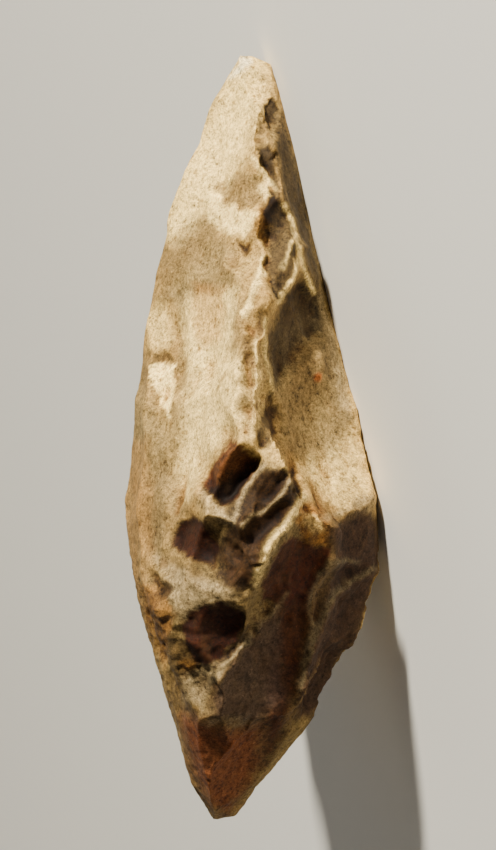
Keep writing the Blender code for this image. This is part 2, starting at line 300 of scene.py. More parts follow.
def strike_broad_flakes(stone):
    """The broad flakes: those of the near side, then the far rows.

    A near one sits where a line along +Y first meets the blank: at the greatest gap over speed of the sides
    that face -Y. A far one sits on the line from the far edge to a ridge, at its row's share of that line.
    """
    normals, offsets = blank_planes()
    near_side = (UPPER_FACE_FLAKES + NEAR_EDGE_UPPER_FLAKES + UNDER_FACE_FLAKES + NEAR_EDGE_UNDER_FLAKES
                 + BUTT_FLAKES)
    for through, along, bearing, pitch, length, width, depth, lean in near_side:
        place = np.array([through, 0, along]) * UNIT
        speed = normals[:, 1]
        gap = offsets - normals @ place
        place[1] = (gap[speed < 0] / speed[speed < 0]).max()
        stone.strike(place, facing(bearing, pitch), length / 100, width / 100, depth / 100, lean)
    for ridge, first, step, count, bearing, reach, length_share, width_share, depth_share in FAR_ROWS:
        for number in range(count):
            along = first - number * step
            edge = line_point(FAR_EDGE, along)
            across = line_point(ridge, along) - edge
            span = np.linalg.norm(across) * SPAN_SHARES[number % 4]
            width = min(LARGEST_FAR_FLAKE / 100, width_share * span)
            out = facing(bearing + BEARING_SHIFTS[number % 3], PITCH_SHIFTS[number % 4])
            stone.strike(edge + across * reach, out, length_share * span, width, depth_share * width,
                         90 + LEAN_SHIFTS[number % 4])


def soften(field, times):
    """Evens a field out over the grid: each time, every value becomes the mean of itself and its neighbours.

    Two steps go along the stone for each one round it, as the rows lie closer than the columns.
    """
    for _ in range(times):
        field = 0.5 * field + 0.25 * (np.roll(field, 1, axis=1) + np.roll(field, -1, axis=1))
        for _ in range(2):
            above = np.concatenate([field[:1], field[:-1]])
            below = np.concatenate([field[1:], field[-1:]])
            field = 0.5 * field + 0.25 * (above + below)
    return field


def outward(points):
    """Unit normals: the cross product of the grid's two directions at each point, turned outwards."""
    across = np.roll(points, -1, axis=1) - np.roll(points, 1, axis=1)
    along = np.gradient(points, axis=0)
    normal = np.cross(across, along)
    return normal / np.maximum(np.linalg.norm(normal, axis=-1, keepdims=True), 1e-12)


def relief(points, times):
    """How far each point stands out from the evened surface round it: crests above 0, hollows below."""
    return ((points - soften(points, times)) * outward(soften(points, 4))).sum(-1)


# The finer forms of the near side. Their places are points of the view's frame of 496 by 850, and depths and
# heights are in millimetres. Raking light makes a carved form look stronger than it is, so hollows, slopes
# and ridges are taken at the shares below, and the rims of hollows are drawn out a little.
CARVED_SHARE = 0.8
RAISED_SHARE = 0.65
RIM_STRETCH = 1.2
HOLLOWS = (
    # the flaked near edge, tip to middle: (depth, soft edge, outline)
    (0.60, 5, ((272, 94), (279, 104), (277, 124), (270, 134), (264, 116))),
    (0.60, 4, ((256, 122), (264, 122), (265, 134), (257, 134))),
    (0.70, 4, ((254, 140), (263, 139), (266, 150), (257, 152))),
    (1.50, 6, ((261, 149), (270, 145), (277, 158), (278, 181), (268, 175), (260, 162))),
    (0.40, 8, ((214, 188), (228, 176), (247, 168), (264, 178), (268, 188), (258, 204), (236, 208),
     (222, 202))),
    (1.00, 6, ((272, 189), (280, 196), (287, 212), (286, 234), (275, 248), (266, 247), (261, 232),
     (263, 216), (266, 201))),
    (-0.45, 10, ((244, 62), (266, 62), (272, 84), (268, 104), (256, 102), (247, 86))),
    (0.55, 4, ((237, 242), (246, 246), (255, 242), (250, 251), (244, 256))),
    (0.50, 5, ((244, 296), (252, 290), (257, 284), (254, 297), (247, 308))),
    (0.80, 7, ((256, 312), (264, 303), (268, 312), (266, 328), (258, 333))),
    (1.20, 8, ((272, 394), (276, 408), (275, 430), (268, 448), (258, 452), (257, 434), (264, 412))),
    (0.25, 8, ((245, 424), (252, 420), (256, 446), (250, 455), (244, 440))),
    # the hollows under the nose on the under face, and the edge of its broad scar
    (2.00, 14, ((283, 302), (296, 284), (308, 282), (316, 296), (323, 314), (320, 345), (300, 362),
     (278, 378), (270, 352), (275, 322))),
    (0.35, 6, ((300, 200), (306, 225), (300, 228), (293, 205))),
    # the reddish hollow, the round hollow and the pits of the butt's left
    (1.40, 10, ((181, 523), (192, 516), (205, 522), (214, 536), (223, 550), (212, 563), (199, 562),
     (186, 556), (175, 549), (173, 537))),
    (0.70, 14, ((188, 612), (204, 606), (222, 603), (240, 611), (246, 622), (238, 642), (224, 656),
     (208, 668), (193, 665), (185, 652), (183, 630))),
    (-1.10, 12, ((184, 640), (200, 640), (214, 658), (204, 674), (186, 668))),
    (0.80, 5, ((152, 574), (158, 584), (172, 586), (171, 596), (158, 594), (151, 584))),
    (0.70, 5, ((176, 628), (174, 640), (168, 656), (165, 672), (162, 662), (168, 640))),
    (0.50, 5, ((205, 560), (214, 562), (214, 572), (205, 570))),
    (0.50, 5, ((234, 556), (246, 552), (250, 566), (238, 572))),
    (0.45, 5, ((238, 582), (250, 578), (252, 592), (242, 594))),
    (0.60, 7, ((247, 545), (262, 538), (262, 552), (250, 562))),
    (0.50, 6, ((262, 604), (270, 600), (268, 614), (262, 618))),
    (0.50, 6, ((226, 722), (240, 716), (252, 716), (246, 740), (232, 746))),
    # the dark hollow between the two pale ridges of the butt's right, and the chips of its jagged edge
    (0.90, 7, ((322, 578), (338, 566), (352, 570), (338, 586), (330, 600), (322, 622), (315, 618),
     (314, 600))),
    (0.70, 9, ((316, 660), (330, 640), (336, 655), (326, 680), (314, 705), (304, 712), (304, 690))),
    (0.50, 8, ((345, 600), (360, 585), (366, 600), (352, 630), (338, 640), (338, 620))),
)
SLOPES = (
    # flat scars that sink from one side to the other: (depth, soft edge, from, to, outline)
    (3.00, 4, (215, 462), (243, 486), ((232, 438), (241, 446), (251, 456), (262, 463), (252, 476),
     (242, 490), (232, 503), (222, 506), (212, 497), (202, 486), (214, 466))),
    (1.10, 6, (268, 196), (276, 236), ((273, 188), (281, 197), (288, 214), (284, 234), (275, 246),
     (266, 246), (260, 230), (264, 210))),
    (1.30, 4, (258, 492), (272, 500), ((255, 498), (262, 486), (272, 475), (281, 468), (292, 476),
     (283, 489), (275, 500), (265, 507))),
    (1.50, 4, (266, 508), (280, 524), ((240, 541), (247, 527), (260, 517), (272, 508), (284, 496),
     (299, 487), (301, 496), (293, 510), (282, 525), (268, 535), (254, 543))),
)
RIDGES = (
    # (height, width towards the frame's left, width towards its right, line from its upper end)
    (0.50, 3, 3, ((148, 364), (154, 382), (162, 402), (169, 418))),
    (-0.60, 3, 3, ((152, 359), (158, 361), (165, 357))),
    (0.50, 5, 2, ((212, 180), (215, 192), (225, 204), (240, 211), (256, 207))),
    (0.45, 2, 3, ((261, 110), (267, 124), (270, 138), (274, 152), (277, 168), (281, 190))),
    (0.90, 4, 12, ((281, 190), (285, 204), (291, 220), (297, 240), (303, 260), (308, 280), (313, 293))),
    (1.00, 4, 2, ((263, 253), (259, 268), (256, 284), (250, 297), (244, 312))),
    (1.00, 3, 2, ((293, 238), (289, 252), (283, 268), (280, 284))),
    (1.30, 4, 2.5, ((300, 246), (299, 262), (293, 276), (286, 290), (279, 302))),
    (1.00, 3, 2, ((266, 318), (266, 335), (267, 352), (270, 372), (273, 390))),
    (0.70, 2.5, 2.5, ((257, 336), (256, 352), (259, 370), (257, 388), (254, 402))),
    (-1.30, 9, 2.5, ((254, 330), (254, 345), (252, 364))),
    (-0.90, 6, 2.0, ((249, 373), (249, 387))),
    (-1.30, 10, 2.5, ((255, 393), (255, 402), (253, 413))),
    (0.80, 2.5, 2.5, ((240, 426), (246, 418), (255, 419), (262, 413), (268, 404))),
    (0.35, 5, 4, ((201, 489), (209, 501), (221, 514), (234, 522))),
    (0.50, 4, 5, ((262, 464), (252, 478), (243, 493), (236, 508), (230, 521))),
    (0.45, 2.5, 2.5, ((281, 467), (268, 478), (259, 490), (252, 502), (240, 516))),
    (0.60, 2.5, 2.5, ((293, 477), (284, 489), (276, 501), (265, 510), (252, 516), (243, 524))),
    (1.50, 5, 5, ((303, 496), (297, 511), (286, 527), (276, 536), (268, 550), (263, 564))),
    (0.50, 6, 8, ((213, 532), (224, 548), (224, 566), (214, 580))),
    (0.50, 4, 3, ((150, 556), (158, 572), (170, 582), (175, 600), (177, 622), (171, 642), (166, 668))),
    (0.50, 3, 7, ((294, 590), (279, 609), (262, 622), (244, 644), (228, 660), (214, 676), (206, 694),
     (201, 716))),
    (0.50, 4, 4, ((181, 668), (187, 680), (192, 696), (196, 712))),
    (0.40, 5, 2, ((203, 728), (210, 721), (220, 716))),
    (0.35, 5, 2, ((228, 724), (238, 716), (250, 714))),
    (1.10, 3, 4, ((321, 574), (314, 592), (311, 608), (313, 624), (309, 646), (303, 666), (300, 690))),
    (1.30, 3, 5, ((376, 570), (363, 576), (352, 583), (341, 591), (333, 599), (326, 613), (320, 628),
     (313, 646), (306, 666), (300, 688), (296, 704))),
    (0.80, 3, 3, ((319, 576), (330, 563), (346, 560), (358, 563))),
    (0.45, 4, 4, ((326, 516), (338, 514), (350, 508), (362, 499), (374, 497))),
)
GROOVES = (
    # cracks and fine channels: (depth, width, line)
    (0.80, 2.0, ((265, 254), (267, 268), (270, 281), (274, 292), (280, 299))),
    (0.50, 1.8, ((286, 252), (284, 264), (280, 274), (278, 284))),
    (0.40, 1.8, ((276, 283), (284, 291), (290, 298))),
    (0.40, 2.0, ((262, 334), (262, 352), (264, 372), (264, 392), (261, 412))),
    (0.30, 1.6, ((215, 391), (220, 382), (225, 373))),
    (0.90, 3.0, ((252, 630), (240, 643), (226, 657))),
    (0.25, 1.6, ((262, 208), (274, 216), (282, 226))),
    (0.25, 1.6, ((258, 222), (270, 228), (282, 240))),
    (0.22, 1.5, ((282, 560), (282, 580), (276, 598))),
    (0.35, 2.0, ((197, 545), (206, 553), (214, 566))),
    (0.35, 2.0, ((187, 563), (196, 567), (204, 575))),
    (0.30, 1.6, ((225, 528), (236, 536), (244, 548))),
)

# Strips whose small rims are worn down before these forms are carved: the near edge, and two of the butt.
WORN_STRIPS = (
    ((244, 66), (274, 66), (280, 120), (284, 190), (300, 250), (304, 300), (276, 330), (273, 380),
     (276, 425), (262, 440), (236, 418), (238, 330), (236, 250), (244, 180)),
    ((246, 552), (266, 546), (270, 560), (264, 600), (246, 604), (240, 580)),
    ((176, 640), (206, 636), (232, 640), (240, 650), (210, 690), (186, 684)),
)


# Where the camera stands beside the standing stone, in millimetres, the frame's middle, and the camera's
# focal length in points of the frame.
EYE = np.array([-0.22, -500.0, 43.9])
MIDDLE = (248, 425)
FOCAL = 4500


def view_frame(points):
    """Where the camera sees each point of the standing stone: focal length times offset over distance."""
    place = points * SIZES * 1000 - EYE
    u = MIDDLE[0] + FOCAL * place[..., 0] / place[..., 1]
    v = MIDDLE[1] - FOCAL * place[..., 2] / place[..., 1]
    return u, v


def line_distance(u, v, line):
    """Distance from a broken line, and the side: 1 to the frame's left of a line that runs down, -1 right.

    The distance is the least of those from its straight parts, each from the nearest point of the part.
    """
    nearest = np.full(u.shape, 1e9)
    side = np.zeros(u.shape)
    for (u0, v0), (u1, v1) in zip(line, line[1:]):
        du, dv = u1 - u0, v1 - v0
        share = np.clip(((u - u0) * du + (v - v0) * dv) / (du * du + dv * dv), 0, 1)
        gap = np.hypot(u - u0 - share * du, v - v0 - share * dv)
        closer = gap < nearest
        side = np.where(closer, np.sign(du * (v - v0) - dv * (u - u0)), side)
        nearest = np.where(closer, gap, nearest)
    return nearest, side


def smooth(share):
    """0 below 0, 1 above 1, and a soft step between: 3s^2 - 2s^3."""
    share = np.clip(share, 0, 1)
    return share * share * (3 - 2 * share)


def patch(u, v, outline, soft):
    """1 inside a closed outline and 0 outside, over a soft edge: by distance and the even-odd rule."""
    distance, _ = line_distance(u, v, outline + outline[:1])
    inside = np.zeros(u.shape, bool)
    for (u0, v0), (u1, v1) in zip(outline, outline[1:] + outline[:1]):
        if v0 != v1:
            inside ^= ((v0 > v) != (v1 > v)) & (u < (u1 - u0) * (v - v0) / (v1 - v0) + u0)
    return smooth(0.5 + np.where(inside, distance, -distance) / soft)


def stirred_frame(points, amount):
    """The frame's points with two sizes of soft noise added, so that outlines drawn in it come out uneven.

    The noise fades where the surface turns away from the camera.
    """
    u, v = view_frame(points)
    amount = amount * np.clip(0.15 - 1.6 * outward(soften(points, 6))[..., 1], 0.15, 1)
    u = u + amount * (waves(points, 0.022, 31) + 0.5 * waves(points, 0.008, 32))
    v = v + amount * (waves(points, 0.022, 33) + 0.5 * waves(points, 0.008, 34))
    return u, v


def seen_share(points):
    """1 where the evened surface faces the camera, 0 where it turns away, and a soft step between."""
    return smooth(0.6 - outward(soften(points, 6))[..., 1] / 0.3)


def sculpt_near_side(stone):
    """Wears down the strips, then adds up the forms and moves the surface in or out along its sight lines.

    A hollow is its depth times its outline's patch. A slope grows from 0 to its depth between two places.
    A ridge is its height times exp(-(distance / width)^1.5), and a groove falls off with the square.
    """
    points = stone.points()
    u, v = stirred_frame(points, 1.3)
    seen = seen_share(points)
    worn = np.max([patch(u, v, outline, 10) for outline in WORN_STRIPS], axis=0) * seen * 0.85
    stone.reach += (soften(stone.reach, 9) - stone.reach) * worn
    change = np.zeros(u.shape)
    for depth, soft, outline in HOLLOWS:
        change -= CARVED_SHARE * depth * patch(u, v, outline, soft * RIM_STRETCH)
    for depth, soft, start, end, outline in SLOPES:
        du, dv = end[0] - start[0], end[1] - start[1]
        share = ((u - start[0]) * du + (v - start[1]) * dv) / (du * du + dv * dv)
        change -= CARVED_SHARE * depth * np.clip(share, 0, 1) * patch(u, v, outline, soft)
    for height, left, right, line in RIDGES:
        distance, side = line_distance(u, v, line)
        width = np.where(side > 0, left, right)
        change += RAISED_SHARE * height * np.exp(-((distance / width) ** 1.5))
    for depth, width, line in GROOVES:
        distance, _ = line_distance(u, v, line)
        change -= depth * np.exp(-((distance / width) ** 2))
    stone.reach = np.maximum(stone.reach + soften(change * seen, 1) / STONE_MM, LEAST_REACH)


# The even tip face, which stays free of chips, and the chips' least and greatest length in millimetres.
PLAIN_FACE = ((225, 60), (250, 110), (236, 250), (236, 420), (190, 500), (150, 620), (90, 500))
CHIP_LENGTHS = (0.9, 3.2)
CHIP_ROUNDS = 4


def strike_small_flakes(stone, count, seed):
    """Chips along the arrises, seated at random where the surface stands out, each facing near its normal.

    They come in rounds, so that later ones find the arrises that earlier ones left. A seat's chance grows
    with how far it stands out beyond 0.12 mm, up to 0.5 mm more.
    """
    random = np.random.default_rng(seed)
    for _ in range(CHIP_ROUNDS):
        points = stone.points()
        normal = outward(soften(points, 5))
        crest = np.clip(relief(points, 14) * STONE_MM - 0.12, 0, 0.5)
        u, v = view_frame(points)
        plain = patch(u, v, PLAIN_FACE, 12)
        crest = crest * (1 - plain * (points[..., 1] < 0)) * (points[..., 2] < 0.97)
        seats = random.choice(crest.size, size=count // CHIP_ROUNDS, p=(crest / crest.sum()).ravel())
        for seat in seats:
            out = normal.reshape(-1, 3)[seat] + random.normal(size=3) * 0.28
            length = random.uniform(*CHIP_LENGTHS) / STONE_MM
            depth = random.uniform(0.04, 0.07) * length
            width = length * random.uniform(0.5, 1.0)
            stone.strike(points.reshape(-1, 3)[seat], out / np.linalg.norm(out), length, width, depth,
                         random.uniform(0, 180), stir=0.08, blend=0.0006)


stone = Stone(rows=452, columns=220)
strike_broad_flakes(stone)
sculpt_near_side(stone)
strike_small_flakes(stone, count=120, seed=7)


# The colours of the stone, and of the shade and highlights painted on it: red, green and blue up to 255.
# The darkest one is only painted shade; the cave's brown and the purple are partly painted shade, and cream,
# tan and pale also serve as painted highlights.
TAN = (154, 123, 70)
CREAM = (255, 220, 138)
PALE = (146, 127, 93)
GREY = (90, 78, 57)
OCHRE = (150, 96, 34)
BROWN = (46, 30, 14)
SHADE_DARK = (24, 12, 5)
UMBER = (58, 46, 30)
RUST = (62, 28, 12)
MAROON = (44, 19, 8)
PURPLE = (58, 41, 34)
IRON = (140, 66, 12)
TIP_WHITE = (255, 238, 196)
CAVE_BROWN = (74, 40, 20)
BUTT_BROWN = (108, 54, 32)
FACET_GREY = (70, 54, 45)
STREAK_TAN = (122, 96, 60)
BLOT_BROWN = (72, 48, 28)

# (colour, strength, soft edge, outline) in the view's frame, painted in this order. Some are painted shade
# and light.
PATCHES = (
    (UMBER, 0.75, 36, ((140, 610), (172, 560), (196, 530), (222, 506), (262, 462), (300, 492), (335, 512),
     (372, 500), (392, 560), (330, 700), (225, 830), (190, 800))),
    (CREAM, 0.75, 26, ((236, 60), (262, 62), (262, 100), (240, 160), (205, 215), (180, 240), (160, 240),
     (176, 180), (208, 112))),
    (CREAM, 0.95, 8, ((205, 180), (214, 190), (226, 206), (248, 212), (255, 214), (244, 236), (224, 232),
     (206, 214))),
    (GREY, 0.50, 18, ((186, 216), (214, 214), (226, 238), (238, 252), (240, 280), (226, 300), (196, 306),
     (160, 300), (160, 260), (176, 236))),
    (GREY, 0.42, 6, ((216, 187), (228, 178), (242, 172), (256, 176), (266, 190), (258, 203), (242, 208),
     (226, 204))),
    (GREY, 0.40, 18, ((222, 300), (242, 300), (244, 400), (232, 430), (200, 470), (176, 560), (152, 560),
     (158, 440), (176, 380), (176, 300), (150, 300), (176, 290), (220, 290))),
    (CREAM, 0.75, 14, ((188, 296), (236, 288), (232, 330), (224, 372), (186, 372), (183, 330))),
    (OCHRE, 0.45, 12, ((194, 284), (226, 288), (222, 340), (200, 350), (190, 320))),
    (GREY, 0.50, 12, ((118, 470), (134, 360), (146, 352), (160, 420), (170, 470), (158, 600), (140, 620),
     (122, 540))),
    (CREAM, 0.45, 14, ((146, 316), (160, 300), (170, 316), (168, 346), (150, 348))),
    # the painted shadow of the notch above the far-left wedge, then the wedge's painted highlight
    (UMBER, 0.70, 5, ((150, 352), (172, 352), (172, 362), (150, 364))),
    (CREAM, 1.00, 3, ((147, 366), (156, 362), (164, 365), (175, 364), (174, 390), (170, 419), (162, 404),
     (153, 384))),
    (CREAM, 0.65, 18, ((190, 380), (236, 350), (240, 380), (234, 425), (205, 462), (186, 500), (178, 470))),
    (OCHRE, 0.22, 14, ((120, 440), (148, 440), (152, 540), (150, 620), (134, 590), (122, 520))),
    (TIP_WHITE, 0.70, 7, ((230, 80), (238, 58), (246, 52), (251, 62), (242, 74))),
    # the flaked edge. Its brown and dark patches are painted shade in its notches and hollows, its cream ones
    # painted highlights on its crests, and the umber strips painted shade right of the edge, on the side
    # turned from the light; the ochre one is a stain
    (BROWN, 0.80, 5, ((256, 120), (264, 122), (262, 135), (256, 133))),
    (BROWN, 0.65, 5, ((254, 138), (262, 138), (263, 150), (256, 150))),
    (SHADE_DARK, 0.90, 5, ((268, 98), (276, 104), (273, 122), (268, 128), (263, 114))),
    (SHADE_DARK, 0.95, 5, ((260, 149), (270, 144), (277, 160), (278, 182), (268, 175), (260, 163))),
    (CREAM, 0.75, 5, ((254, 158), (262, 172), (270, 182), (274, 190), (264, 200), (258, 190), (262, 184))),
    (BROWN, 0.85, 12, ((272, 192), (282, 200), (284, 216), (276, 240), (262, 240), (256, 226), (262, 208))),
    (SHADE_DARK, 0.92, 6, ((272, 190), (281, 198), (284, 212), (275, 226), (265, 224), (264, 212), (267, 202))),
    (OCHRE, 0.20, 9, ((252, 212), (264, 206), (266, 226), (256, 238), (248, 232))),
    (UMBER, 0.92, 6, ((280, 202), (291, 216), (299, 246), (294, 272), (282, 296), (274, 296), (267, 262),
     (270, 230))),
    (BROWN, 0.85, 4, ((236, 241), (246, 246), (256, 241), (250, 251), (244, 257))),
    (CREAM, 0.60, 5, ((262, 254), (264, 270), (258, 290), (246, 318), (240, 314), (254, 286))),
    (BROWN, 0.70, 5, ((244, 297), (252, 290), (258, 284), (254, 298), (247, 308))),
    (CREAM, 0.55, 2.5, ((297, 262), (297, 272), (291, 285), (284, 295), (282, 293), (289, 279))),
    (SHADE_DARK, 0.70, 7, ((256, 312), (265, 302), (268, 312), (266, 330), (258, 334))),
    (BROWN, 0.70, 7, ((242, 336), (252, 332), (253, 352), (247, 366), (242, 352))),
    (BROWN, 0.55, 5, ((240, 374), (248, 373), (248, 387), (240, 386))),
    (BROWN, 0.55, 7, ((234, 399), (244, 393), (253, 400), (250, 413), (238, 412))),
    (BROWN, 0.85, 7, ((272, 394), (277, 408), (276, 432), (268, 448), (258, 452), (256, 434), (264, 412))),
    (UMBER, 0.90, 5, ((271, 92), (277, 104), (270, 122), (272, 138), (277, 152), (281, 172), (285, 192),
     (290, 206), (294, 226), (286, 212), (278, 196), (272, 186), (262, 168), (260, 156), (267, 142),
     (264, 126), (264, 110))),
    # the under face. The first umber strip is painted shade right of the edge, the dark patch the painted
    # shadow cast by the nose, and the cream patch and the last pale one painted light on the broad scar's
    # lower part and its rim
    (UMBER, 0.88, 12, ((276, 100), (290, 140), (306, 200), (318, 260), (326, 300), (318, 296), (302, 250),
     (288, 205), (280, 170), (270, 120))),
    (UMBER, 0.40, 10, ((282, 100), (300, 130), (330, 300), (350, 420), (340, 440), (318, 330), (300, 240),
     (276, 140))),
    (SHADE_DARK, 0.88, 12, ((284, 294), (306, 272), (318, 296), (324, 330), (300, 342), (284, 370), (272, 400),
     (266, 340))),
    (GREY, 0.55, 22, ((270, 340), (320, 300), (344, 380), (350, 450), (310, 470), (285, 450), (276, 400))),
    (CREAM, 0.32, 22, ((300, 470), (352, 430), (372, 488), (352, 506), (330, 512))),
    (PALE, 0.50, 6, ((322, 290), (332, 320), (346, 380), (352, 420), (346, 420), (334, 370), (318, 300))),
    (PALE, 0.50, 7, ((352, 500), (366, 494), (376, 500), (372, 516), (356, 514))),
    # the cave and the strips. The cave's brown is partly its own colour and partly painted shade, and the
    # dark patch in it is painted shadow
    (UMBER, 0.90, 8, ((222, 508), (246, 482), (262, 464), (290, 470), (302, 494), (284, 534), (268, 566),
     (254, 592), (226, 588), (214, 560), (228, 526))),
    (BROWN, 0.80, 9, ((232, 510), (250, 484), (264, 470), (286, 474), (294, 494), (276, 530), (262, 556),
     (250, 584), (230, 580), (220, 560), (232, 530))),
    (CAVE_BROWN, 0.95, 4, ((232, 438), (243, 446), (253, 457), (262, 463), (250, 478), (238, 500),
     (222, 507), (208, 493), (202, 486), (210, 468), (221, 453))),
    (SHADE_DARK, 0.95, 8, ((232, 476), (252, 470), (242, 492), (231, 505), (220, 506), (205, 490), (218, 482))),
    (BROWN, 0.88, 5, ((255, 498), (261, 488), (271, 476), (281, 469), (291, 477), (282, 488), (275, 499),
     (266, 506))),
    (BROWN, 0.94, 6, ((239, 541), (247, 526), (260, 518), (271, 509), (283, 496), (299, 488), (300, 496),
     (292, 509), (281, 525), (268, 535), (253, 543))),
    (PALE, 0.65, 3, ((300, 497), (305, 500), (296, 518), (290, 530), (279, 540), (272, 556), (264, 574),
     (256, 590), (252, 586), (258, 566), (266, 546), (276, 532), (290, 518))),
    (PALE, 0.55, 6, ((199, 492), (222, 512), (236, 522), (232, 528), (214, 520), (198, 506))),
    (OCHRE, 0.55, 8, ((303, 502), (318, 505), (330, 520), (330, 545), (316, 548), (302, 540), (297, 522))),
    (CREAM, 0.40, 5, ((306, 512), (320, 516), (326, 532), (314, 536), (304, 526))),
    # the butt's left
    (MAROON, 0.98, 6, ((179, 524), (192, 515), (206, 522), (214, 536), (222, 550), (212, 563), (199, 562),
     (186, 556), (174, 549), (172, 537))),
    (BROWN, 0.60, 12, ((226, 530), (262, 540), (258, 580), (240, 600), (216, 580), (222, 556))),
    (PALE, 0.70, 12, ((156, 556), (176, 566), (204, 580), (232, 590), (236, 602), (204, 606), (182, 622),
     (172, 610), (166, 584))),
    (OCHRE, 0.40, 7, ((140, 585), (152, 584), (168, 600), (172, 616), (166, 640), (164, 668), (150, 640))),
    (BROWN, 0.55, 6, ((142, 596), (150, 592), (154, 616), (164, 640), (162, 660), (150, 640))),
    (BROWN, 0.70, 4, ((150, 574), (160, 586), (173, 586), (170, 600), (156, 596))),
    (MAROON, 0.98, 7, ((188, 612), (204, 606), (222, 603), (240, 611), (246, 622), (238, 642), (224, 656),
     (208, 668), (193, 665), (185, 652), (183, 630))),
    (OCHRE, 0.35, 5, ((181, 660), (192, 662), (192, 678), (182, 678))),
    (PALE, 0.65, 9, ((180, 676), (200, 668), (222, 664), (212, 676), (204, 694), (200, 708), (184, 700))),
    (PALE, 0.60, 4, ((203, 729), (210, 720), (220, 714), (219, 724), (210, 730))),
    (PALE, 0.45, 4, ((228, 724), (238, 715), (250, 712), (246, 724))),
    (BUTT_BROWN, 0.75, 24, ((182, 716), (226, 730), (262, 726), (258, 772), (228, 815), (208, 806),
     (190, 770))),
    # the butt's right
    (RUST, 0.90, 18, ((290, 560), (326, 556), (318, 580), (308, 640), (296, 690), (280, 740), (262, 770),
     (266, 690), (276, 620))),
    (RUST, 0.92, 4, ((292, 536), (304, 542), (318, 549), (331, 546), (326, 570), (310, 600), (280, 606),
     (264, 600), (264, 584), (272, 566), (281, 547))),
    (FACET_GREY, 0.85, 16, ((262, 622), (280, 606), (284, 700), (256, 724), (210, 718), (212, 690),
     (228, 668))),
    # partly the stone's dark purple-brown, partly painted shade on the facets turned down and away from the
    # light
    (PURPLE, 0.90, 16, ((330, 530), (360, 510), (382, 520), (384, 570), (360, 640), (332, 690), (312, 722),
     (296, 715), (306, 660), (322, 600), (336, 560))),
    (GREY, 0.75, 4, ((246, 634), (252, 640), (224, 670), (208, 692), (203, 688), (224, 658))),
    (GREY, 0.55, 5, ((378, 566), (362, 574), (342, 590), (330, 604), (322, 624), (312, 650), (300, 690),
     (302, 670), (312, 632), (326, 600), (342, 580))),
    (GREY, 0.50, 5, ((320, 574), (313, 592), (310, 612), (312, 624), (308, 612), (310, 590))),
    (GREY, 0.45, 6, ((318, 578), (330, 562), (348, 557), (356, 562), (336, 568))),
)


# (colour, strength, width, line): thin pale crests and dark cracks, partly painted light and shade as noted.
# The iron speck has a place and a radius.
LINES = (
    # painted highlights where the crests of the edge and the under face catch the light, and painted shade in
    # the cracks between the leaf-shaped flakes
    (TAN, 0.60, 1.4, ((263, 118), (269, 136), (275, 160), (280, 186), (285, 204))),
    (CREAM, 0.90, 1.8, ((285, 204), (291, 220), (297, 240), (303, 260), (308, 280), (314, 293))),
    (CREAM, 0.60, 2.5, ((253, 158), (262, 172), (270, 182), (274, 190))),
    (CREAM, 0.60, 2.0, ((300, 248), (299, 262), (293, 276), (286, 290), (279, 302))),
    (CREAM, 0.50, 2.0, ((293, 240), (289, 252), (283, 268))),
    (CREAM, 0.60, 2.5, ((263, 256), (259, 270), (255, 286), (249, 300), (243, 314))),
    (SHADE_DARK, 0.80, 1.5, ((265, 256), (267, 268), (270, 281), (274, 292), (280, 299))),
    (SHADE_DARK, 0.70, 1.5, ((286, 254), (284, 264), (281, 276))),
    (SHADE_DARK, 0.60, 1.5, ((276, 283), (284, 291), (290, 298))),
    (CREAM, 0.55, 2.5, ((257, 336), (256, 352), (259, 370), (257, 388), (254, 402))),
    (CREAM, 0.55, 2.0, ((266, 320), (266, 335), (267, 352), (270, 372), (273, 390))),
    (RUST, 0.70, 1.2, ((215, 391), (220, 382), (225, 373))),
    (PALE, 0.80, 2.5, ((202, 489), (210, 501), (222, 514), (234, 522))),
    (PALE, 0.70, 2.5, ((264, 464), (252, 479), (244, 493), (237, 508), (233, 520))),
    (PALE, 0.70, 2.0, ((292, 479), (284, 490), (276, 502), (265, 511), (252, 517), (243, 526))),
    (CREAM, 0.55, 4.2, ((303, 497), (297, 511), (286, 527), (276, 536), (268, 550), (262, 566),
     (256, 584))),
    # a painted highlight on the diagonal crest, and the painted shadow at its upper left
    (PALE, 0.30, 2.5, ((288, 594), (274, 612), (258, 626), (244, 644), (228, 660), (214, 676), (206, 694),
     (201, 716))),
    (SHADE_DARK, 0.60, 1.8, ((250, 628), (240, 641), (226, 656), (214, 668))),
    (GREY, 0.80, 2.4, ((321, 574), (314, 592), (311, 608), (313, 624), (309, 646), (303, 666), (300, 690))),
    (GREY, 0.85, 3.0, ((376, 568), (363, 575), (352, 582), (341, 590), (333, 599), (326, 613), (320, 628),
     (313, 646), (306, 666), (300, 688))),
    (GREY, 0.70, 2.4, ((319, 576), (330, 563), (346, 560), (358, 563))),
    # a painted highlight on the lit rim of the under face's broad scar
    (PALE, 0.50, 2.5, ((374, 498), (362, 501), (350, 509), (338, 515), (326, 517))),
)
IRON_SPECK = (318, 377, 3.6)
COARSE_OUTLINES = (
    ((246, 330), (268, 325), (274, 392), (266, 420), (244, 420), (250, 380)),
    ((303, 502), (318, 505), (332, 520), (332, 548), (300, 548), (296, 522)),
    ((140, 585), (168, 596), (174, 620), (164, 672), (150, 640)),
    ((178, 656), (194, 660), (194, 680), (180, 680)),
    ((226, 540), (262, 545), (256, 600), (230, 596)),
)


def linear(colour):
    """The light value of a display colour: each channel over 255, raised to 2.2."""
    return (np.array(colour, float) / 255) ** 2.2


def mixed(colour, other, share):
    """The colour times 1 - share, plus the other times share, point by point."""
    return colour * (1 - share[..., None]) + other * share[..., None]


